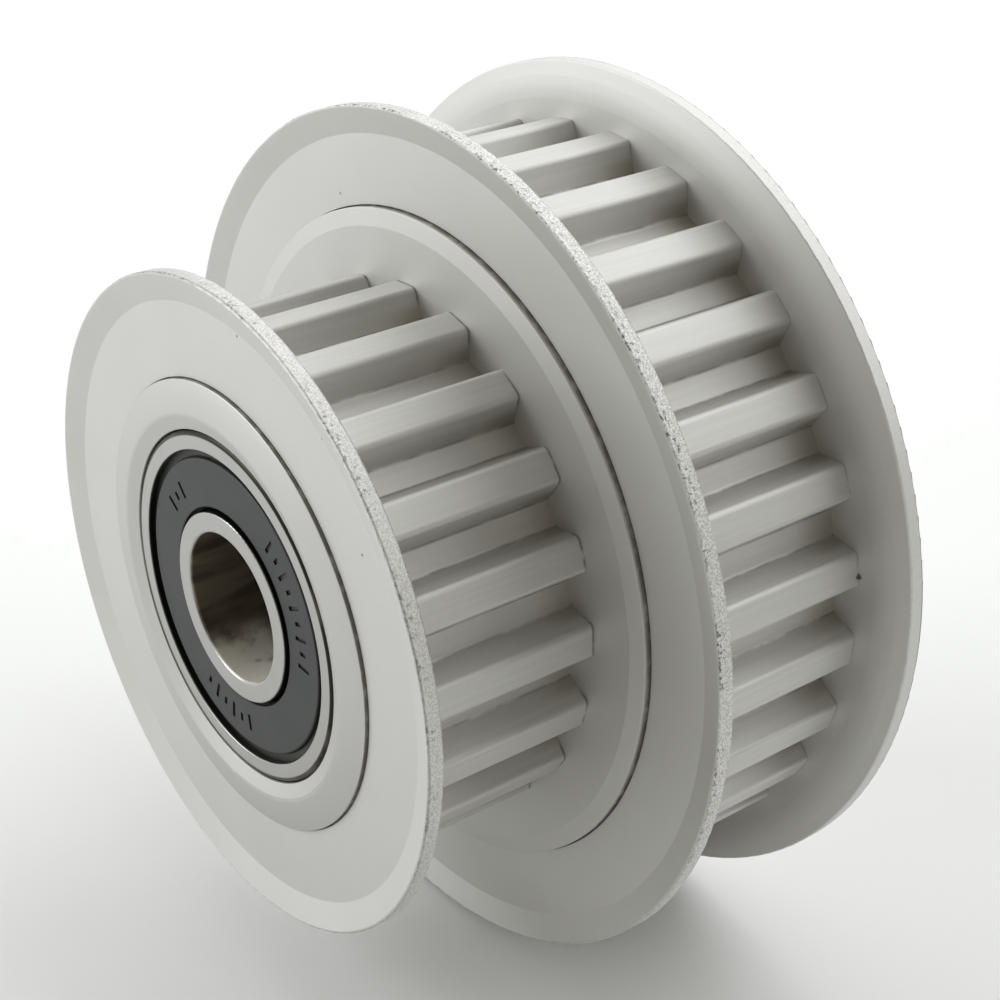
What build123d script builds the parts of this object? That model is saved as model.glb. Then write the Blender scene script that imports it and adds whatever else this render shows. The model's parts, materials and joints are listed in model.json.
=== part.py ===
"""Two-step timing belt idler pulley: a toothed aluminium body with three pressed flanges,
running on two sealed ball bearings.

Millimetres. The pulley turns about the Y axis, its small track towards -Y (the front) and its
large track towards +Y (the rear). +Z is up and the origin is on the axis, half way along.
"""

from build123d import *
from math import hypot, radians, tan
import os

# Belt tracks: 10 mm pitch trapezoidal teeth.
SMALL_TEETH = 20
LARGE_TEETH = 28
SMALL_TIP_R = 30.9
LARGE_TIP_R = 43.63
SMALL_CREST_ANGLE = 2.8     # a tooth's crest, in degrees from +X towards +Z
LARGE_CREST_ANGLE = 8.6
GROOVE_WIDTH = 6.1          # across the mouth, at the tip circle
GROOVE_DEPTH = 3.4
FLANK_ANGLE = 25.0          # each side, from the groove's middle plane
TIP_FILLET = 0.7
ROOT_FILLET = 0.5

# Lengths along the axis.
TRACK_WIDTH = 22.8
SHEET = 1.8                 # flange sheet thickness
END_PROUD = 1.1             # how far each end boss stands out of its flange
STEP_PROUD = 1.1            # the same for the boss between the tracks
HUB_LENGTH = 2 * (END_PROUD + SHEET + TRACK_WIDTH) + STEP_PROUD + SHEET

# Stations along the axis, front to rear.
FRONT_FACE = -HUB_LENGTH / 2
SMALL_START = FRONT_FACE + END_PROUD + SHEET
STEP_FACE = SMALL_START + TRACK_WIDTH
LARGE_START = STEP_FACE + STEP_PROUD + SHEET
LARGE_END = LARGE_START + TRACK_WIDTH
REAR_FACE = HUB_LENGTH / 2

# Body.
SMALL_BOSS_R = 25.5
LARGE_BOSS_R = 38.35
BOSS_EDGE_R = 0.1
LARGE_BOSS_BEVEL = 2.0      # across the face
LARGE_BOSS_BEVEL_DEPTH = 0.35
CROWN_R = 21.75             # where each end face stands highest; a cone falls inside it
CROWN_BLEND_R = 1.0
CROWN_SHOULDER_R = 23.6     # the front face bends further down here
CROWN_SHOULDER_DROP = 0.2
CROWN_SHOULDER_BLEND_R = 18.0
CROWN_EDGE_DROP = 0.7       # from the crown to the front boss's edge
SEAT_EDGE_R = 20.05
SEAT_EDGE_DEPTH = 0.65
SEAT_START_DEPTH = 0.8
SHOULDER_BORE_R = 18.0

# Flanges.
SMALL_RIM_R = 37.05
MIDDLE_RIM_R = 49.5
REAR_RIM_R = 50.0
FLARE_WIDTH = 3.2           # from the bend out to the rim
FLARE_ANGLE = 19.0
BEND_INSIDE_R = 0.4
BEND_OUTSIDE_R = 8.0        # on the side towards the track
RIM_EDGE_R = 0.22
HOLE_CLEARANCE = 0.1
HOLE_EDGE_R = 0.1           # rounding of the hole on the face side

# Ball bearings: 17 x 40 x 12 mm, deep groove, two rubber seals each.
BORE_R = 8.5
BEARING_R = 20.0
BEARING_WIDTH = 12.0
BEARING_RECESS = 0.6        # below the body's crown
BALLS = 8
BALL_R = 3.3735
PITCH_R = 14.25
BALL_PLAY = 0.03            # between a ball and each race
RACE_CURVATURE = 1.04       # race groove radius over ball radius
OUTER_CORNER_R = 0.7
INNER_CORNER_R = 0.35
INNER_FACE_R = 10.8
INNER_SHOULDER_R = 12.2
INNER_SHOULDER_HALF = 3.9
OUTER_SHOULDER_R = 16.3
OUTER_FACE_R = 17.8
SEAL_GROOVE_R = 18.3
SEAL_GROOVE_NEAR = 4.2      # distances from the bearing's middle plane
SEAL_GROOVE_FAR = 5.1

# Seals: rubber moulded on a steel core, distances from the bearing's middle plane.
SEAL_FACE = 5.65
SEAL_FACE_INNER_R = 11.3
SEAL_FACE_OUTER_R = 16.75
SEAL_LIP_R = 11.0
CORE_INNER_R = 12.1
CORE_OUTER_R = 17.3
CORE_BACK = 4.55
CORE_FRONT = 4.95
MARK_R = 14.0               # middle of the moulded bars
MARK_LENGTH = 2.0
MARK_WIDTH = 0.5
MARK_DEPTH = 0.2
MARK_STEP = 7.0             # degrees between neighbouring bars
MARK_GROUPS = ((-56.0, 3), (37.0, 9), (172.0, 6))   # first bar's angle, bars

# Cage: two riveted halves of pressed strip.
CAGE_INNER_R = 13.0
CAGE_OUTER_R = 15.5
CAGE_SHEET = 0.6
POCKET_PLAY = 0.12
RIVET_R = 0.5
RIVET_HEAD_R = 0.95
RIVET_HEAD = 0.45

# Spacer sleeve between the inner rings.
SPACER_BORE_R = 8.6
SPACER_R = 10.7
SPACER_CHAMFER = 0.3

BEARING_FACE = HUB_LENGTH / 2 - BEARING_RECESS      # distance of each outer face from the origin
BEARING_INNER_FACE = BEARING_FACE - BEARING_WIDTH
BEARING_MIDDLE = BEARING_FACE - BEARING_WIDTH / 2

ACROSS_AXIS = Plane(origin=(0, 0, 0), x_dir=(1, 0, 0), z_dir=(0, 1, 0))


def turned(corners):
    """Solid of revolution about Y. Each corner is (radius, y, fillet of that corner)."""
    points = [(radius, y) for radius, y, _ in corners]
    fillets = [corner_fillet for _, _, corner_fillet in corners]
    outline = FilletPolyline(*points, radius=fillets, close=True)
    return revolve(make_face(outline), Axis.Y)


def washer(inner_radius, outer_radius, start, end):
    """Plain ring about Y."""
    return turned(
        [
            (inner_radius, start, 0),
            (outer_radius, start, 0),
            (outer_radius, end, 0),
            (inner_radius, end, 0),
        ]
    )


def toothed_track(tip_radius, teeth, crest_angle, start, end, bore_radius):
    """Ring with straight belt grooves all round, one crest at crest_angle."""
    floor = tip_radius - GROOVE_DEPTH
    slope = tan(radians(FLANK_ANGLE))
    half_floor = GROOVE_WIDTH / 2 - GROOVE_DEPTH * slope
    half_outside = GROOVE_WIDTH / 2 + GROOVE_DEPTH * slope
    outside = tip_radius + GROOVE_DEPTH
    groove = make_face(
        Polyline(
            (floor, -half_floor),
            (outside, -half_outside),
            (outside, half_outside),
            (floor, half_floor),
            close=True,
        )
    )
    section = Circle(tip_radius)
    for tooth in range(teeth):
        section -= Rot(Z=tooth * 360 / teeth) * groove
    tips = [v for v in section.vertices() if hypot(v.X, v.Y) > tip_radius - TIP_FILLET]
    section = fillet(tips, TIP_FILLET)
    roots = [v for v in section.vertices() if hypot(v.X, v.Y) < floor + ROOT_FILLET]
    section = fillet(roots, ROOT_FILLET)
    section -= Circle(bore_radius)
    track = extrude(ACROSS_AXIS * section, end - start)
    half_pitch = 180 / teeth
    return Pos(0, start, 0) * Rot(Y=half_pitch - crest_angle) * track


def seat_mouth():
    """End face from a bearing seat out to the crown: (radius, depth below the crown, fillet)."""
    return [
        (BEARING_R, SEAT_START_DEPTH, 0),
        (SEAT_EDGE_R, SEAT_EDGE_DEPTH, 0.05),
        (CROWN_R, 0, CROWN_BLEND_R),
    ]


def pulley_body():
    """Body with both tracks, the bosses that carry the flanges and the two bearing seats."""
    seat_end = BEARING_INNER_FACE
    core = turned(
        [
            (SMALL_BOSS_R, FRONT_FACE + CROWN_EDGE_DROP, BOSS_EDGE_R),
            (SMALL_BOSS_R, STEP_FACE, 0),
            (LARGE_BOSS_R - LARGE_BOSS_BEVEL, STEP_FACE, 0.5),
            (LARGE_BOSS_R, STEP_FACE + LARGE_BOSS_BEVEL_DEPTH, BOSS_EDGE_R),
            (LARGE_BOSS_R, REAR_FACE - LARGE_BOSS_BEVEL_DEPTH, BOSS_EDGE_R),
            (LARGE_BOSS_R - LARGE_BOSS_BEVEL, REAR_FACE, 0.5),
            *[(radius, REAR_FACE - depth, blend) for radius, depth, blend in reversed(seat_mouth())],
            (BEARING_R, seat_end, 0),
            (SHOULDER_BORE_R, seat_end, 0.2),
            (SHOULDER_BORE_R, -seat_end, 0.2),
            (BEARING_R, -seat_end, 0),
            *[(radius, FRONT_FACE + depth, blend) for radius, depth, blend in seat_mouth()],
            (CROWN_SHOULDER_R, FRONT_FACE + CROWN_SHOULDER_DROP, CROWN_SHOULDER_BLEND_R),
        ]
    )
    # Each track reaches into the core, and the small one into the step boss as well.
    small_bore = (BEARING_R + SMALL_BOSS_R) / 2
    large_bore = (BEARING_R + LARGE_BOSS_R) / 2
    small_end = STEP_FACE + STEP_PROUD
    small = toothed_track(
        SMALL_TIP_R, SMALL_TEETH, SMALL_CREST_ANGLE, SMALL_START, small_end, small_bore
    )
    large = toothed_track(
        LARGE_TIP_R, LARGE_TEETH, LARGE_CREST_ANGLE, LARGE_START, LARGE_END, large_bore
    )
    return core + small + large


def flange(boss_radius, rim_radius, seat, side):
    """Pressed ring against the plane y = seat, flared towards side (-1 front, +1 rear)."""
    slope = tan(radians(FLARE_ANGLE))
    hole = boss_radius + HOLE_CLEARANCE
    face_bend = rim_radius - FLARE_WIDTH
    back_bend = face_bend + SHEET * tan(radians(FLARE_ANGLE / 2))
    face = seat + side * SHEET
    face_rim = face + side * FLARE_WIDTH * slope
    back_rim = seat + side * (rim_radius - back_bend) * slope
    return turned(
        [
            (hole, seat, 0),
            (back_bend, seat, BEND_OUTSIDE_R),
            (rim_radius, back_rim, RIM_EDGE_R),
            (rim_radius, face_rim, RIM_EDGE_R),
            (face_bend, face, BEND_INSIDE_R),
            (hole, face, HOLE_EDGE_R),
        ]
    )


def race_groove(centre_radius):
    """Torus that cuts a ball track about Y."""
    return Rot(X=90) * Torus(centre_radius, BALL_R * RACE_CURVATURE)


def inner_ring():
    """Inner ring with a shoulder each side of the race and a land for each seal lip."""
    half = BEARING_WIDTH / 2
    blank = turned(
        [
            (BORE_R, -half, INNER_CORNER_R),
            (INNER_FACE_R, -half, 0.1),
            (INNER_FACE_R, -INNER_SHOULDER_HALF, 0),
            (INNER_SHOULDER_R, -INNER_SHOULDER_HALF, 0.1),
            (INNER_SHOULDER_R, INNER_SHOULDER_HALF, 0.1),
            (INNER_FACE_R, INNER_SHOULDER_HALF, 0),
            (INNER_FACE_R, half, 0.1),
            (BORE_R, half, INNER_CORNER_R),
        ]
    )
    groove_centre = PITCH_R - BALL_R - BALL_PLAY + BALL_R * RACE_CURVATURE
    return blank - race_groove(groove_centre)


def outer_ring():
    """Outer ring with a snap groove for each seal."""
    half = BEARING_WIDTH / 2
    blank = turned(
        [
            (BEARING_R, -half, OUTER_CORNER_R),
            (BEARING_R, half, OUTER_CORNER_R),
            (OUTER_FACE_R, half, 0.1),
            (OUTER_FACE_R, SEAL_GROOVE_FAR, 0.1),
            (SEAL_GROOVE_R, SEAL_GROOVE_FAR, 0),
            (SEAL_GROOVE_R, SEAL_GROOVE_NEAR, 0),
            (OUTER_SHOULDER_R, SEAL_GROOVE_NEAR, 0.1),
            (OUTER_SHOULDER_R, -SEAL_GROOVE_NEAR, 0.1),
            (SEAL_GROOVE_R, -SEAL_GROOVE_NEAR, 0),
            (SEAL_GROOVE_R, -SEAL_GROOVE_FAR, 0),
            (OUTER_FACE_R, -SEAL_GROOVE_FAR, 0.1),
            (OUTER_FACE_R, -half, 0.1),
        ]
    )
    groove_centre = PITCH_R + BALL_R + BALL_PLAY - BALL_R * RACE_CURVATURE
    return blank - race_groove(groove_centre)


def ball_angles():
    """Angles of the balls about Y, in degrees."""
    return [index * 360 / BALLS for index in range(BALLS)]


def ball(angle):
    return Rot(Y=angle) * Pos(0, 0, PITCH_R) * Sphere(BALL_R)


def rivet_angles():
    """Angles of the rivets, half way between the balls."""
    return [angle + 180 / BALLS for angle in ball_angles()]


def rivet(angle):
    """Short rivet through both halves of the cage, with a button head each side."""
    reach = CAGE_SHEET + RIVET_HEAD
    shank = Cylinder(RIVET_R, 2 * CAGE_SHEET)
    head = Cylinder(RIVET_HEAD_R, RIVET_HEAD)
    head = fillet(head.edges().group_by(Axis.Z)[-1], RIVET_HEAD / 2)
    head = Pos(0, 0, reach - RIVET_HEAD / 2) * head
    both = shank + head + Rot(X=180) * head
    return Rot(Y=angle) * Pos(0, 0, PITCH_R) * Rot(X=90) * both


def cage_half(side):
    """Half of the cage on one side of the ball plane: a strip that domes over each ball."""
    pocket_r = BALL_R + POCKET_PLAY
    dome_r = pocket_r + CAGE_SHEET
    strip = washer(CAGE_INNER_R, CAGE_OUTER_R, 0, side * CAGE_SHEET)
    room = washer(CAGE_INNER_R, CAGE_OUTER_R, 0, side * 2 * dome_r)
    for angle in ball_angles():
        strip += (Rot(Y=angle) * Pos(0, 0, PITCH_R) * Sphere(dome_r)) & room
    for angle in ball_angles():
        strip -= Rot(Y=angle) * Pos(0, 0, PITCH_R) * Sphere(pocket_r)
    for angle in rivet_angles():
        hole = Rot(X=90) * Cylinder(RIVET_R, 4 * CAGE_SHEET)
        strip -= Rot(Y=angle) * Pos(0, 0, PITCH_R) * hole
    return strip


def seal_core(side):
    """Flat steel ring on the ball side of a seal."""
    return washer(CORE_INNER_R, CORE_OUTER_R, side * CORE_BACK, side * CORE_FRONT)


def seal_rubber(side):
    """Moulded rubber of a seal: snap bead, flat face and a lip that clears the inner ring."""
    bead_r = SEAL_GROOVE_R - 0.05
    bead_back = SEAL_GROOVE_NEAR + 0.05
    lip_back = CORE_BACK - 0.15
    corners = [
        (SEAL_FACE_INNER_R, SEAL_FACE, 0.15),
        (SEAL_FACE_OUTER_R, SEAL_FACE, 0.2),
        (SEAL_FACE_OUTER_R + 0.15, SEAL_GROOVE_FAR, 0.1),
        (bead_r, SEAL_GROOVE_FAR, 0.2),
        (bead_r, bead_back, 0.2),
        (CORE_OUTER_R, bead_back, 0),
        (CORE_OUTER_R, CORE_FRONT, 0),
        (CORE_INNER_R, CORE_FRONT, 0),
        (CORE_INNER_R, lip_back, 0.1),
        (SEAL_FACE_INNER_R, lip_back, 0.1),
        (SEAL_LIP_R, CORE_BACK + 0.2, 0.05),
        (SEAL_LIP_R, CORE_BACK + 0.4, 0.05),
        (SEAL_FACE_INNER_R, CORE_FRONT + 0.3, 0.1),
    ]
    return turned([(radius, side * y, corner_fillet) for radius, y, corner_fillet in corners])


def marked_seal_rubber(side):
    """Seal rubber with groups of plain sunk bars in its face."""
    rubber = seal_rubber(side)
    middle = side * SEAL_FACE
    for first_angle, count in MARK_GROUPS:
        for index in range(count):
            length = MARK_LENGTH if index % 2 == 0 else MARK_LENGTH / 2
            bar = Box(MARK_WIDTH, 2 * MARK_DEPTH, length)
            angle = first_angle + index * MARK_STEP
            rubber -= Rot(Y=angle) * Pos(0, middle, MARK_R) * bar
    return rubber


def bearing_parts(prefix):
    """Every piece of one bearing, centred on the origin, with its outer side towards -Y."""
    parts = {
        prefix + "_outer_ring": outer_ring(),
        prefix + "_inner_ring": inner_ring(),
        prefix + "_outer_seal_rubber": marked_seal_rubber(-1),
        prefix + "_outer_seal_core": seal_core(-1),
        prefix + "_inner_seal_rubber": seal_rubber(1),
        prefix + "_inner_seal_core": seal_core(1),
        prefix + "_cage_outer_half": cage_half(-1),
        prefix + "_cage_inner_half": cage_half(1),
        prefix + "_cage_rivets": Compound(children=[rivet(angle) for angle in rivet_angles()]),
    }
    for index, angle in enumerate(ball_angles(), start=1):
        parts[f"{prefix}_ball_{index}"] = ball(angle)
    return parts


def spacer():
    """Plain sleeve that keeps the inner rings apart."""
    end = BEARING_INNER_FACE
    sleeve = washer(SPACER_BORE_R, SPACER_R, -end, end)
    return chamfer(sleeve.edges().filter_by(GeomType.CIRCLE), SPACER_CHAMFER)


def build():
    parts = {
        "pulley_body": pulley_body(),
        "front_flange": flange(SMALL_BOSS_R, SMALL_RIM_R, SMALL_START, -1),
        "middle_flange": flange(LARGE_BOSS_R, MIDDLE_RIM_R, LARGE_START, -1),
        "rear_flange": flange(LARGE_BOSS_R, REAR_RIM_R, LARGE_END, 1),
        "inner_spacer": spacer(),
    }
    to_front = Pos(0, -BEARING_MIDDLE, 0)
    to_rear = Pos(0, BEARING_MIDDLE, 0) * Rot(Z=180)
    for name, piece in bearing_parts("front").items():
        parts[name] = to_front * piece
    for name, piece in bearing_parts("rear").items():
        parts[name] = to_rear * piece
    return parts


os.makedirs("parts", exist_ok=True)
for name, shape in build().items():
    export_step(shape, f"parts/{name}.step")
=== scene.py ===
"""Looks of the two-step timing belt idler pulley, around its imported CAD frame.

Metres. The pulley turns about the Y axis, its small track towards -Y, and +Z is up. Every CAD node
keeps its own mesh at the origin, so a material's object coordinates are the frame's coordinates.
"""

import json
import math

import bpy
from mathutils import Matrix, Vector


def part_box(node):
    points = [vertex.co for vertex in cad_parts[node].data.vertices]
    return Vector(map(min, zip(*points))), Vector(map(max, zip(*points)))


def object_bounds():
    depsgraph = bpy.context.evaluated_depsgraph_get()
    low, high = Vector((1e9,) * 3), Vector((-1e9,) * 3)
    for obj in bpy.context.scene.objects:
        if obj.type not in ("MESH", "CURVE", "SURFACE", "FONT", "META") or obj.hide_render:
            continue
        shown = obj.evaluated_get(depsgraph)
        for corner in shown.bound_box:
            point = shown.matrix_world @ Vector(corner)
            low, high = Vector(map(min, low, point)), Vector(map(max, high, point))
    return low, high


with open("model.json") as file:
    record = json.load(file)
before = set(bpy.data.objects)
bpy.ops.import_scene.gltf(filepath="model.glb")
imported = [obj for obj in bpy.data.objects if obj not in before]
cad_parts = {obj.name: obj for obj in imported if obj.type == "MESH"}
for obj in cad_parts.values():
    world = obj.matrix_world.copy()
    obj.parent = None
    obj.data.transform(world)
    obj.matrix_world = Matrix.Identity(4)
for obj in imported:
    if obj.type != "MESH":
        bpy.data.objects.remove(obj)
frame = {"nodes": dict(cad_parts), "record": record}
CAD_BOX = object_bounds()
FLOOR_LEVEL = CAD_BOX[0][2]
RECORD = frame["record"]
MM = 0.001

# Camera: its direction, how far it stands, and the point it looks at, beside the pulley's centre.
CAMERA_AZIMUTH = math.radians(52.18)
CAMERA_ELEVATION = math.radians(27.98)
CAMERA_DISTANCE = 0.22266
CAMERA_TARGET = Vector((0.0035, 0.0075, 0.0036))
CAMERA_LENS = 69.73
CAMERA_SENSOR = 36.0

# Soft boxes round the pulley: name, place, side length, power in watts.
LIGHTS = (
    ("top_left", (-0.5, 0.1, 0.8), 0.7, 1.6),
    ("top_right", (0.5, 0.1, 0.8), 0.7, 0.4),
    ("top_back", (0.0, 0.5, 0.8), 0.7, 2.5),
    ("back", (0.0, 0.85, 0.45), 0.8, 1.5),
    ("left", (-0.85, 0.0, 0.4), 0.7, 0.8),
    ("front_left", (-0.6, -0.65, 0.4), 0.6, 5.7),
    ("front", (0.0, -0.95, 0.35), 0.6, 0.7),
    ("back_left", (-0.6, 0.6, 0.5), 0.7, 2.0),
    ("back_right", (0.6, 0.6, 0.5), 0.7, 2.1),
)
LIGHT_COLOUR = (0.955, 0.985, 1.0)
WORLD_COLOUR = (1.0, 0.945, 0.82)
WORLD_STRENGTH = 0.25
FLOOR_REACH = 3.0

# Places on the pulley that the materials pick out, by radius or by station along the axis.
BORE_R = 8.5 * MM           # of the inner rings
INNER_RING_R = 10.8 * MM
SEAL_INNER_R = 11.35 * MM
SEAL_OUTER_R = 16.7 * MM
OUTER_RING_BORE_R = 17.8 * MM
RING_CORNER_R = 19.35 * MM
BEARING_R = 20.0 * MM
SMALL_BOSS_R = 25.5 * MM
LARGE_BOSS_R = 38.35 * MM
SHEET = 1.8 * MM            # flange sheet thickness
RIM_WIDTH = 1.9 * MM
GROOVE_DEPTH = 3.4 * MM
TRACK_WIDTH = 22.8 * MM
HUB_PROUD = 1.1 * MM        # end bosses above their flanges
SEAL_RECESS = 0.35 * MM     # outer ring face to seal face
TRACK_INSET = 0.05 * MM
FRONT_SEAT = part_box("front_flange")[1][1]
STEP_FACE = FRONT_SEAT + TRACK_WIDTH
MIDDLE_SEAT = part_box("middle_flange")[1][1]
REAR_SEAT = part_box("rear_flange")[0][1]
BODY_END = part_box("pulley_body")[1][1]
BEARING_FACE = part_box("rear_outer_ring")[1][1]
SMALL_TIP_R = [m for m in RECORD["mounts"] if m["name"] == "small_belt_track"][0]["pos_m"][2]
LARGE_TIP_R = [m for m in RECORD["mounts"] if m["name"] == "large_belt_track"][0]["pos_m"][2]
SMALL_FLOOR_R = SMALL_TIP_R - GROOVE_DEPTH
LARGE_FLOOR_R = LARGE_TIP_R - GROOVE_DEPTH
# Small dark dings: place (radius, station, degrees from +X towards +Z) and size.
DINGS = {
    "front_flange": (
        ((31.2 * MM, FRONT_SEAT - SHEET, 35.0), 0.22 * MM),
        ((33.5 * MM, FRONT_SEAT - SHEET, 82.0), 0.2 * MM),
        ((33.8 * MM, FRONT_SEAT - SHEET, 55.0), 0.16 * MM),
    ),
    "rear_flange": (((LARGE_TIP_R, REAR_SEAT, 7.6), 0.5 * MM),),
    "pulley_body": (((LARGE_TIP_R, REAR_SEAT - 0.1 * MM, 7.6), 0.5 * MM),),
}

# Colours, linear.
BODY_TONE = (0.625, 0.62, 0.6)
FLANGE_TONE = (0.64, 0.635, 0.615)
SPECK_DARK, SPECK_LIGHT = (0.14, 0.13, 0.11), (0.93, 0.93, 0.9)
GLITTER_DARK, GLITTER_LIGHT = (0.5, 0.495, 0.475), (0.8, 0.795, 0.775)
SMOOTH_RIM = (0.67, 0.665, 0.65)
RIM_NICK = (0.12, 0.115, 0.1)
RIM_BURR = (0.1, 0.095, 0.085)
DING = (0.1, 0.095, 0.08)
# Groove floors: a thin dust tint, deepened to painted shade at their far ends.
DUST_AND_SHADE = (0.41, 0.37, 0.3)
# Painted shade along the roots of the teeth.
ROOT_SHADE = (0.15, 0.14, 0.12)
# Painted shade in the corners at the tooth ends.
TOOTH_END_SHADE = (0.12, 0.11, 0.09)
# Painted shade where the walls of the bosses meet the flanges.
BOSS_FOOT_SHADE = (0.15, 0.14, 0.11)
# Oil with painted shade in the gap between the hub seat and the bearing.
SEAT_OIL_AND_SHADE = (0.04, 0.037, 0.022)
# Outer corners of the rings: oil stains with painted shade in the gap.
RING_OIL_SHADE_WET, RING_OIL_SHADE_DRY = (0.016, 0.015, 0.009), (0.1, 0.085, 0.06)
# Painted shade in the recess between the rings behind the seals.
RING_GROOVE_SHADE = (0.03, 0.028, 0.022)
BORE_LIGHT, BORE_DARK = (0.28, 0.235, 0.18), (0.13, 0.1, 0.078)
# Painted pool of light on the low side of the bore, near its mouth.
BORE_LIGHT_POOL = (0.8, 0.78, 0.69)
RUBBER_DARK, RUBBER_BLOOM = (0.019, 0.0195, 0.021), (0.031, 0.032, 0.0335)
# Painted shade in the seal's grooves and sunk marks.
RUBBER_RECESS_SHADE = (0.014, 0.013, 0.011)
FLOOR_DARK, FLOOR_LIGHT = (0.845, 0.845, 0.845), (0.855, 0.855, 0.853)

# Heights of the bumps.
BLAST_HEIGHT = 0.004 * MM
RIM_HEIGHT = 0.05 * MM
GRINDING_HEIGHT = 0.0015 * MM
POLISH_HEIGHT = 0.002 * MM


class Surface:
    """A material under construction: shorthands for the nodes that its pattern is built from."""

    def __init__(self, name):
        self.material = bpy.data.materials.new(name)
        self.material.use_nodes = True
        self.tree = self.material.node_tree
        self.shader = self.tree.nodes["Principled BSDF"]
        self.place = self.tree.nodes.new("ShaderNodeTexCoord").outputs["Object"]
        split = self.tree.nodes.new("ShaderNodeSeparateXYZ")
        self.tree.links.new(self.place, split.inputs[0])
        self.x, self.y, self.z = split.outputs
        self.radius = self.math("SQRT", self.math("ADD", self.square(self.x), self.square(self.z)))
        facing = self.tree.nodes.new("ShaderNodeSeparateXYZ")
        self.tree.links.new(self.tree.nodes["Texture Coordinate"].outputs["Normal"], facing.inputs[0])
        self.across = self.step(self.math("ABSOLUTE", facing.outputs[1]), 0.6, 0.4)

    def feed(self, socket, value):
        """Links value to socket, or sets it where it is a plain number or colour."""
        if isinstance(value, bpy.types.NodeSocket):
            self.tree.links.new(value, socket)
        elif isinstance(value, tuple) and len(value) == 3 and socket.type == "RGBA":
            socket.default_value = (*value, 1.0)
        else:
            socket.default_value = value

    def math(self, operation, *values, clamp=False):
        node = self.tree.nodes.new("ShaderNodeMath")
        node.operation = operation
        node.use_clamp = clamp
        for socket, value in zip(node.inputs, values):
            self.feed(socket, value)
        return node.outputs[0]

    def square(self, value):
        return self.math("MULTIPLY", value, value)

    def step(self, value, low, high):
        """0 below low, 1 above high and smooth between. With low over high it falls instead."""
        node = self.tree.nodes.new("ShaderNodeMapRange")
        node.interpolation_type = "SMOOTHSTEP"
        rising = low < high
        self.feed(node.inputs["Value"], value)
        node.inputs["From Min"].default_value = min(low, high)
        node.inputs["From Max"].default_value = max(low, high)
        node.inputs["To Min"].default_value = 0.0 if rising else 1.0
        node.inputs["To Max"].default_value = 1.0 if rising else 0.0
        return node.outputs["Result"]

    def span(self, value, low, high, soft):
        """1 between low and high, falling to 0 over a distance soft outside them."""
        return self.math(
            "MULTIPLY", self.step(value, low - soft, low), self.step(value, high + soft, high)
        )

    def near(self, place, size):
        """1 inside a small uneven spot at place (radius, station, degrees from +X to +Z)."""
        radius, station, angle = place
        spot = (radius * math.cos(math.radians(angle)), station, radius * math.sin(math.radians(angle)))
        away = self.tree.nodes.new("ShaderNodeVectorMath")
        away.operation = "DISTANCE"
        self.feed(away.inputs[0], self.place)
        away.inputs[1].default_value = spot
        uneven = self.math("MULTIPLY", self.noise(2600.0, 2.0), size)
        return self.step(self.math("ADD", away.outputs["Value"], uneven), 1.35 * size, 0.95 * size)

    def dinged(self, colour, node):
        """Colour with the small dark dings of a node."""
        for place, size in DINGS.get(node, ()):
            ding = self.math("MULTIPLY", self.near(place, size), 0.8)
            colour = self.mix(ding, colour, DING)
        return colour

    def either(self, *masks):
        """The largest of several masks."""
        joined = masks[0]
        for mask in masks[1:]:
            joined = self.math("MAXIMUM", joined, mask)
        return joined

    def both(self, *masks):
        """The product of several masks."""
        joined = masks[0]
        for mask in masks[1:]:
            joined = self.math("MULTIPLY", joined, mask)
        return joined

    def lathe(self):
        """Radius, station along the axis and a slow drift round it, as a vector."""
        node = self.tree.nodes.new("ShaderNodeCombineXYZ")
        self.tree.links.new(self.radius, node.inputs[0])
        self.tree.links.new(self.y, node.inputs[1])
        self.tree.links.new(self.x, node.inputs[2])
        return node.outputs[0]

    def scaled(self, vector, scale):
        node = self.tree.nodes.new("ShaderNodeVectorMath")
        node.operation = "MULTIPLY"
        self.feed(node.inputs[0], vector)
        node.inputs[1].default_value = scale
        return node.outputs[0]

    def noise(self, scale, detail=2.0, vector=None, roughness=0.5):
        node = self.tree.nodes.new("ShaderNodeTexNoise")
        self.feed(node.inputs["Vector"], vector or self.place)
        node.inputs["Scale"].default_value = scale
        node.inputs["Detail"].default_value = detail
        node.inputs["Roughness"].default_value = roughness
        return node.outputs["Fac"]

    def specks(self, scale, share, size, vector=None):
        """1 inside small spots, one in each picked cell of a random pattern."""
        node = self.tree.nodes.new("ShaderNodeTexVoronoi")
        self.feed(node.inputs["Vector"], vector or self.place)
        node.inputs["Scale"].default_value = scale
        near = self.step(node.outputs["Distance"], size, size * 0.5)
        pick = self.tree.nodes.new("ShaderNodeSeparateColor")
        self.tree.links.new(node.outputs["Color"], pick.inputs[0])
        return self.math("MULTIPLY", near, self.math("GREATER_THAN", pick.outputs[0], 1.0 - share))

    def mix(self, factor, first, second):
        node = self.tree.nodes.new("ShaderNodeMix")
        node.data_type = "RGBA"
        self.feed(node.inputs["Factor"], factor)
        self.feed(node.inputs[6], first)
        self.feed(node.inputs[7], second)
        return node.outputs[2]

    def blend(self, factor, first, second):
        """Number between first and second."""
        node = self.tree.nodes.new("ShaderNodeMix")
        self.feed(node.inputs["Factor"], factor)
        self.feed(node.inputs[2], first)
        self.feed(node.inputs[3], second)
        return node.outputs[0]

    def shade(self, colour, factor):
        """Colour times a number."""
        node = self.tree.nodes.new("ShaderNodeVectorMath")
        node.operation = "SCALE"
        self.feed(node.inputs[0], colour)
        self.feed(node.inputs["Scale"], factor)
        return node.outputs[0]

    def bump(self, height, distance, normal=None):
        node = self.tree.nodes.new("ShaderNodeBump")
        node.inputs["Strength"].default_value = 1.0
        node.inputs["Distance"].default_value = distance
        self.feed(node.inputs["Height"], height)
        if normal is not None:
            self.tree.links.new(normal, node.inputs["Normal"])
        return node.outputs[0]

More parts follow.
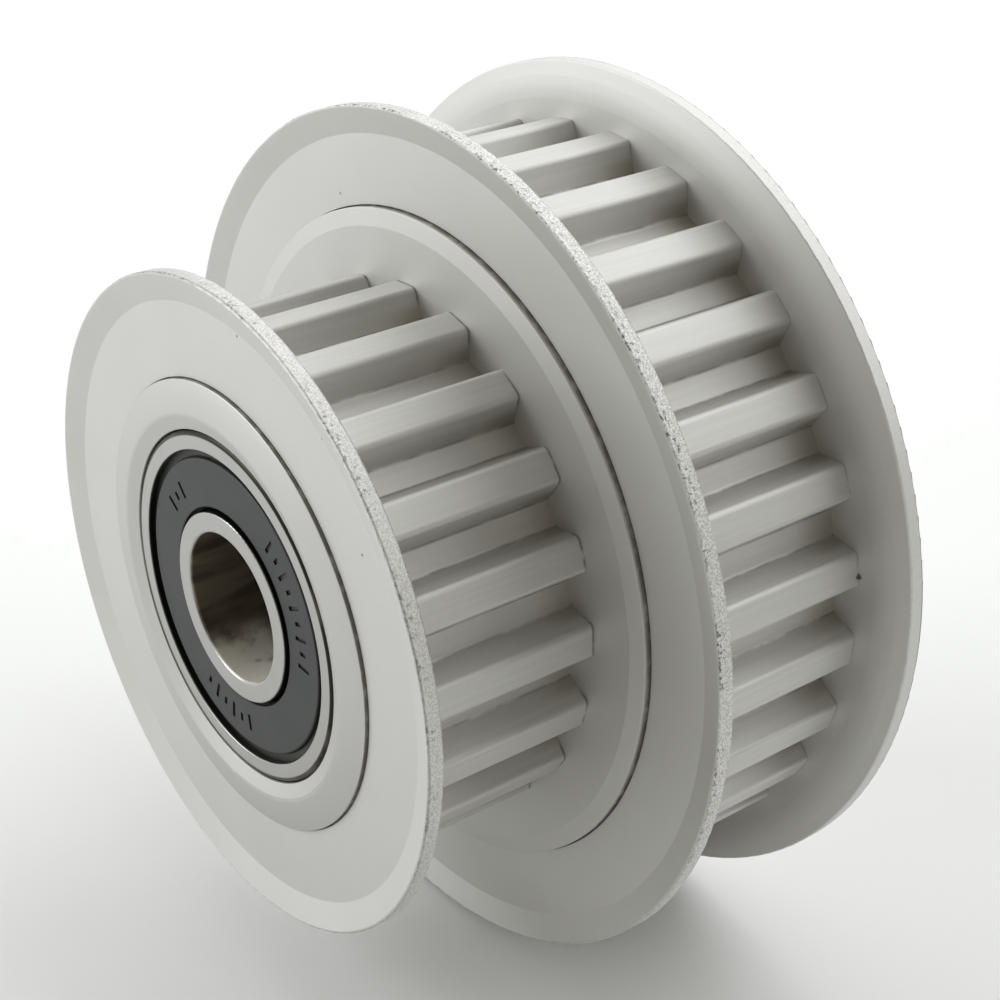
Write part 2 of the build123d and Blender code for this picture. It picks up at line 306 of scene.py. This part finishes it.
    def finish(self, colour, roughness, metallic, normal=None):
        self.feed(self.shader.inputs["Base Color"], colour)
        self.feed(self.shader.inputs["Roughness"], roughness)
        self.feed(self.shader.inputs["Metallic"], metallic)
        if normal is not None:
            self.tree.links.new(normal, self.shader.inputs["Normal"])
        return self.material


def blasted(surface, colour):
    """Colour, roughness and height of bead-blasted, clear anodised aluminium."""
    clouds = surface.noise(90.0, 3.0)
    grain = surface.noise(5200.0, 2.0)
    tone = surface.math("ADD", 0.955, surface.math("MULTIPLY", clouds, 0.06))
    tone = surface.math("ADD", tone, surface.math("MULTIPLY", grain, 0.03))
    shaded = surface.shade(colour, tone)
    dark = surface.specks(260.0, 0.035, 0.06)
    light = surface.specks(310.0, 0.04, 0.055)
    shaded = surface.mix(surface.math("MULTIPLY", dark, 0.7), shaded, SPECK_DARK)
    shaded = surface.mix(surface.math("MULTIPLY", light, 0.6), shaded, SPECK_LIGHT)
    rough = surface.math("ADD", 0.63, surface.math("MULTIPLY", grain, 0.1))
    height = surface.math("SUBTRACT", grain, dark)
    return shaded, rough, height


def groove_dust_and_shade(s, colour, small_track, large_track):
    """Dust on the groove floors with painted shade at their far ends, and painted shade along their
    roots.
    """
    spaces = s.either(
        s.both(small_track, s.step(s.radius, SMALL_FLOOR_R + 2.4 * MM, SMALL_FLOOR_R + 1.0 * MM)),
        s.both(large_track, s.step(s.radius, LARGE_FLOOR_R + 2.4 * MM, LARGE_FLOOR_R + 1.0 * MM)),
    )
    far_ends = s.either(
        s.span(s.y, STEP_FACE - 0.5 * MM, STEP_FACE, 5.0 * MM),
        s.span(s.y, REAR_SEAT - 0.5 * MM, REAR_SEAT, 5.0 * MM),
    )
    # Painted shade at the far ends of the groove floors, over a thin dust tint.
    dust_and_shade = s.both(spaces, s.blend(far_ends, 0.1, 0.62))
    colour = s.mix(dust_and_shade, colour, DUST_AND_SHADE)
    # Patchy painted shade in the root creases of the teeth.
    root_shade = s.either(
        s.span(s.radius, SMALL_FLOOR_R + 0.09 * MM, SMALL_FLOOR_R + 0.24 * MM, 0.05 * MM),
        s.span(s.radius, LARGE_FLOOR_R + 0.09 * MM, LARGE_FLOOR_R + 0.24 * MM, 0.05 * MM),
    )
    root_shade = s.both(root_shade, s.either(small_track, large_track), s.step(s.noise(330.0, 3.0), 0.35, 0.6))
    return s.mix(s.math("MULTIPLY", root_shade, 0.4), colour, ROOT_SHADE)


def tooth_end_shade(s, shade_patches):
    """Mask of painted shade in the corners at the tooth ends, faint on the large track."""
    small = s.both(
        s.span(s.y, STEP_FACE - 0.2 * MM, STEP_FACE, 0.12 * MM),
        s.step(s.radius, SMALL_TIP_R - 2.2 * MM, SMALL_TIP_R - 0.9 * MM),
    )
    large = s.both(
        s.span(s.y, REAR_SEAT - 0.15 * MM, REAR_SEAT, 0.12 * MM),
        s.step(s.radius, LARGE_TIP_R - 2.2 * MM, LARGE_TIP_R - 0.9 * MM),
    )
    large = s.math("MULTIPLY", large, 0.35)
    return s.both(s.across, shade_patches, s.either(small, large))


def boss_foot_shade(s):
    """Mask of painted shade in the corners where the walls of the bosses meet their flanges."""
    small_wall = s.both(
        s.span(s.radius, SMALL_BOSS_R - 0.04 * MM, SMALL_BOSS_R + 0.1 * MM, 0.08 * MM),
        s.step(s.y, FRONT_SEAT - SHEET - 0.6 * MM, FRONT_SEAT - SHEET - 0.2 * MM),
    )
    large_walls = s.both(
        s.span(s.radius, LARGE_BOSS_R - 0.03 * MM, LARGE_BOSS_R + 0.1 * MM, 0.07 * MM),
        s.step(s.y, MIDDLE_SEAT - SHEET - 0.65 * MM, MIDDLE_SEAT - SHEET - 0.25 * MM),
        s.step(s.y, REAR_SEAT + SHEET + 0.65 * MM, REAR_SEAT + SHEET + 0.25 * MM),
    )
    return s.both(s.across, s.either(small_wall, large_walls))


def body_aluminium():
    """Blasted body: cutter streaks along the teeth, dust and oil, and painted shade in the grooves and
    in the corners round seats, tooth ends and bosses.
    """
    s = Surface("look_body_aluminium")
    colour, rough, height = blasted(s, BODY_TONE)
    small_track = s.span(s.y, FRONT_SEAT, STEP_FACE - TRACK_INSET, TRACK_INSET)
    large_track = s.span(s.y, MIDDLE_SEAT, REAR_SEAT, TRACK_INSET)
    tracks = s.either(small_track, large_track)
    streak = s.noise(1.0, 3.0, s.scaled(s.place, (2600.0, 55.0, 2600.0)))
    streaks = s.both(tracks, s.math("SUBTRACT", streak, 0.5))
    colour = s.shade(colour, s.math("ADD", 1.0, s.math("MULTIPLY", streaks, 0.16)))
    # Dust and painted shade in the grooves, and painted shade along the tooth roots.
    colour = groove_dust_and_shade(s, colour, small_track, large_track)
    rough = s.blend(tracks, rough, 0.6)

    end_face = s.step(s.math("ABSOLUTE", s.y), BODY_END - 0.8 * HUB_PROUD, BODY_END - 0.7 * HUB_PROUD)
    colour = s.shade(colour, s.blend(end_face, 1.0, 0.86))
    rough = s.blend(end_face, rough, 0.48)
    height = s.math("ADD", height, s.math("MULTIPLY", streaks, 1.2))

    # Patches that break up the painted shade at the tooth ends and at the feet of the bosses.
    shade_patches = s.step(s.noise(700.0, 3.0), 0.3, 0.55)
    # The hub's seat edge beside the bearing: oil with painted shade in the gap.
    seat_oil_and_shade = s.both(
        s.step(s.radius, BEARING_R + 0.25 * MM, BEARING_R + 0.12 * MM),
        s.step(s.math("ABSOLUTE", s.y), BEARING_FACE - 0.24 * MM, BEARING_FACE - 0.34 * MM),
    )
    # Painted shade in patches in the corners at the tooth ends.
    colour = s.mix(s.math("MULTIPLY", tooth_end_shade(s, shade_patches), 0.6), colour, TOOTH_END_SHADE)
    # Painted shade in patches at the feet of the bosses.
    colour = s.mix(s.both(boss_foot_shade(s), s.blend(shade_patches, 0.4, 0.75)), colour, BOSS_FOOT_SHADE)
    colour = s.mix(s.math("MULTIPLY", seat_oil_and_shade, 0.93), colour, SEAT_OIL_AND_SHADE)
    colour = s.dinged(colour, "pulley_body")
    return s.finish(colour, rough, 1.0, s.bump(height, BLAST_HEIGHT))


def flange_aluminium(name, node, outward, coarseness):
    """Blasted flange. Its cut rim is bright and grainy, with dark nicks, by its coarseness."""
    s = Surface(name)
    low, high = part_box(node)
    rim_radius = high[0]
    edge = low[1] if outward < 0 else high[1]
    colour, rough, height = blasted(s, FLANGE_TONE)
    rim = s.step(s.radius, rim_radius - 0.2 * MM, rim_radius - 0.08 * MM)
    sparkle = s.noise(5200.0, 3.0, roughness=0.7)
    coarse = s.noise(2300.0, 3.0, roughness=0.6)
    glitter = s.mix(s.step(sparkle, 0.36, 0.62), GLITTER_DARK, GLITTER_LIGHT)
    glitter = s.mix(coarseness, SMOOTH_RIM, glitter)
    from_edge = s.math("MULTIPLY", s.math("SUBTRACT", s.y, edge), -outward)
    near_edges = s.either(
        s.step(from_edge, 0.42 * MM, 0.12 * MM),
        s.step(from_edge, RIM_WIDTH - 0.36 * MM, RIM_WIDTH - 0.08 * MM),
    )
    nicks = s.both(near_edges, s.step(coarse, 0.5, 0.58), rim)
    pits = s.both(rim, s.step(from_edge, 1.5 * MM, 0.5 * MM), s.step(coarse, 0.56, 0.62))
    patchy = s.both(s.step(s.noise(130.0, 2.0), 0.4, 0.55), s.step(s.z, -32.0 * MM, 4.0 * MM))
    marks = s.both(s.either(nicks, pits), patchy, coarseness)
    burr = s.both(rim, s.step(from_edge, 0.34 * MM, 0.2 * MM), 0.85 * (1.0 - coarseness))
    colour = s.mix(rim, colour, glitter)
    colour = s.mix(s.math("MULTIPLY", marks, 0.8), colour, RIM_NICK)
    colour = s.mix(burr, colour, RIM_BURR)
    rough = s.blend(rim, rough, 0.6)
    colour = s.dinged(colour, node)
    fine = s.bump(height, BLAST_HEIGHT)
    grit = s.both(rim, s.math("SUBTRACT", sparkle, marks), coarseness)
    cut = s.bump(grit, RIM_HEIGHT, fine)
    return s.finish(colour, rough, 1.0, cut)


def ground_steel(name, colour, roughness):
    """Ground steel rings: oil and painted shade on their outer corners, painted shade in their grooves,
    and a brown, stained bore with a painted pool of light low in it.
    """
    s = Surface(name)
    rings = s.noise(1.0, 2.0, s.scaled(s.lathe(), (30000.0, 30000.0, 300.0)))
    grime = s.noise(420.0, 4.0)
    shaded = s.shade(colour, s.math("ADD", 0.93, s.math("MULTIPLY", grime, 0.14)))
    # Oil stains and painted shade on the rings' outer corners.
    corner = s.step(s.radius, RING_CORNER_R - 0.08 * MM, RING_CORNER_R + 0.08 * MM)
    stain = s.step(s.noise(160.0, 2.0), 0.5, 0.7)
    oil_and_shade = s.mix(stain, RING_OIL_SHADE_WET, RING_OIL_SHADE_DRY)
    shaded = s.mix(s.math("MULTIPLY", corner, 0.98), shaded, oil_and_shade)
    # Painted shade on the rings in the recess behind the seals.
    groove_shade = s.both(
        s.span(s.radius, INNER_RING_R - 0.06 * MM, OUTER_RING_BORE_R + 0.05 * MM, 0.05 * MM),
        s.step(s.math("ABSOLUTE", s.y), BEARING_FACE - 0.16 * MM, BEARING_FACE - 0.26 * MM),
    )
    shaded = s.mix(s.math("MULTIPLY", groove_shade, 0.94), shaded, RING_GROOVE_SHADE)
    bore = s.step(s.radius, BORE_R + 0.14 * MM, BORE_R + 0.05 * MM)
    drift = s.noise(1.0, 3.0, s.scaled(s.place, (420.0, 90.0, 420.0)))
    brown = s.mix(s.step(drift, 0.4, 0.65), BORE_LIGHT, BORE_DARK)
    # Painted pool of light low in the bore near its mouth, made less metallic there.
    light_pool = s.both(
        s.step(s.z, -5.6 * MM, -7.6 * MM),
        s.step(s.math("ABSOLUTE", s.y), BEARING_FACE - 8.5 * MM, BEARING_FACE - 6.0 * MM),
        s.step(s.noise(300.0, 3.0), 0.25, 0.5),
    )
    brown = s.mix(s.math("MULTIPLY", light_pool, 0.85), brown, BORE_LIGHT_POOL)
    shaded = s.mix(bore, shaded, brown)
    metal = s.math("SUBTRACT", s.blend(bore, 1.0, 0.8), s.both(bore, light_pool, 0.6))
    rough = s.math("ADD", roughness, s.math("MULTIPLY", grime, 0.1))
    rough = s.blend(bore, rough, 0.36)
    return s.finish(shaded, rough, metal, s.bump(rings, GRINDING_HEIGHT))


def rubber():
    """Moulded rubber, satin, with a faint bloom, and painted shade, near black, in its grooves and sunk
    marks.
    """
    s = Surface("look_seal_rubber")
    bloom = s.noise(260.0, 4.0)
    grain = s.noise(6000.0, 2.0)
    colour = s.mix(bloom, RUBBER_DARK, RUBBER_BLOOM)
    face = s.span(s.radius, SEAL_INNER_R + 0.08 * MM, SEAL_OUTER_R - 0.05 * MM, 0.08 * MM)
    shell = s.step(
        s.math("ABSOLUTE", s.y),
        BEARING_FACE - SEAL_RECESS - 0.12 * MM,
        BEARING_FACE - SEAL_RECESS - 0.04 * MM,
    )
    # Painted shade everywhere off the seal's flat face: its grooves and sunk marks.
    colour = s.mix(s.both(face, shell), RUBBER_RECESS_SHADE, colour)
    rough = s.math("ADD", 0.42, s.math("MULTIPLY", bloom, 0.16))
    return s.finish(colour, rough, 0.0, s.bump(grain, BLAST_HEIGHT))


def polished(name, colour, roughness):
    """Polished or pressed steel with a light cloudiness."""
    s = Surface(name)
    clouds = s.noise(700.0, 3.0)
    shaded = s.shade(colour, s.math("ADD", 0.92, s.math("MULTIPLY", clouds, 0.14)))
    rough = s.math("ADD", roughness, s.math("MULTIPLY", clouds, 0.08))
    return s.finish(shaded, rough, 1.0, s.bump(clouds, POLISH_HEIGHT))


def floor_paper():
    s = Surface("look_floor")
    tone = s.noise(3.0, 2.0)
    colour = s.mix(tone, FLOOR_DARK, FLOOR_LIGHT)
    return s.finish(colour, 0.75, 0.0)


def add_camera():
    """Camera at the reference viewing angle, aimed at CAMERA_TARGET."""
    level = math.cos(CAMERA_ELEVATION)
    forward = Vector(
        (
            -math.sin(CAMERA_AZIMUTH) * level,
            math.cos(CAMERA_AZIMUTH) * level,
            -math.sin(CAMERA_ELEVATION),
        )
    )
    data = bpy.data.cameras.new("camera")
    data.lens = CAMERA_LENS
    data.sensor_width = CAMERA_SENSOR
    data.clip_start = 0.01
    camera = bpy.data.objects.new("camera", data)
    camera.location = CAMERA_TARGET - forward * CAMERA_DISTANCE
    camera.rotation_euler = forward.to_track_quat("-Z", "Y").to_euler()
    bpy.context.scene.collection.objects.link(camera)
    bpy.context.scene.camera = camera


def add_light(name, place, size, power):
    """Square soft box at place, facing the pulley."""
    data = bpy.data.lights.new(name, "AREA")
    data.shape = "SQUARE"
    data.size = size
    data.energy = power
    data.color = LIGHT_COLOUR
    light = bpy.data.objects.new(name, data)
    light.location = place
    light.rotation_euler = (-Vector(place)).to_track_quat("-Z", "Y").to_euler()
    bpy.context.scene.collection.objects.link(light)


def add_world():
    world = bpy.data.worlds.new("world")
    world.use_nodes = True
    background = world.node_tree.nodes["Background"]
    background.inputs["Color"].default_value = (*WORLD_COLOUR, 1.0)
    background.inputs["Strength"].default_value = WORLD_STRENGTH
    bpy.context.scene.world = world


def add_floor():
    """Plain floor under the pulley."""
    reach, level = FLOOR_REACH, FLOOR_LEVEL
    corners = [(-reach, -reach, level), (reach, -reach, level)]
    corners += [(reach, reach, level), (-reach, reach, level)]
    mesh = bpy.data.meshes.new("floor")
    mesh.from_pydata(corners, [], [(0, 1, 2, 3)])
    floor = bpy.data.objects.new("floor", mesh)
    bpy.context.scene.collection.objects.link(floor)
    mesh.materials.append(floor_paper())


def dress():
    """Gives every CAD node its material."""
    looks = {
        "body_aluminium": body_aluminium(),
        "bearing_steel": ground_steel("look_bearing_steel", (0.43, 0.425, 0.412), 0.28),
        "ball_steel": polished("look_ball_steel", (0.72, 0.72, 0.73), 0.08),
        "cage_steel": polished("look_cage_steel", (0.55, 0.54, 0.52), 0.3),
        "seal_rubber": rubber(),
        "seal_steel": polished("look_seal_steel", (0.5, 0.5, 0.5), 0.34),
        "spacer_aluminium": ground_steel("look_spacer_aluminium", (0.66, 0.66, 0.65), 0.3),
    }
    for subpart in RECORD["subparts"]:
        node, slot = subpart["node"], subpart["material_slot"]
        if node == "rear_flange":
            look = flange_aluminium("look_rear_flange", node, outward=1.0, coarseness=0.15)
        elif slot == "flange_aluminium":
            look = flange_aluminium(
                "look_" + node, node, outward=-1.0, coarseness=1.0 if node == "middle_flange" else 0.7
            )
        else:
            look = looks[slot]
        for place in frame["nodes"][node].material_slots:
            place.material = look


add_camera()
add_world()
add_floor()
for light in LIGHTS:
    add_light(*light)
dress()
bpy.context.scene.view_settings.view_transform = "Standard"
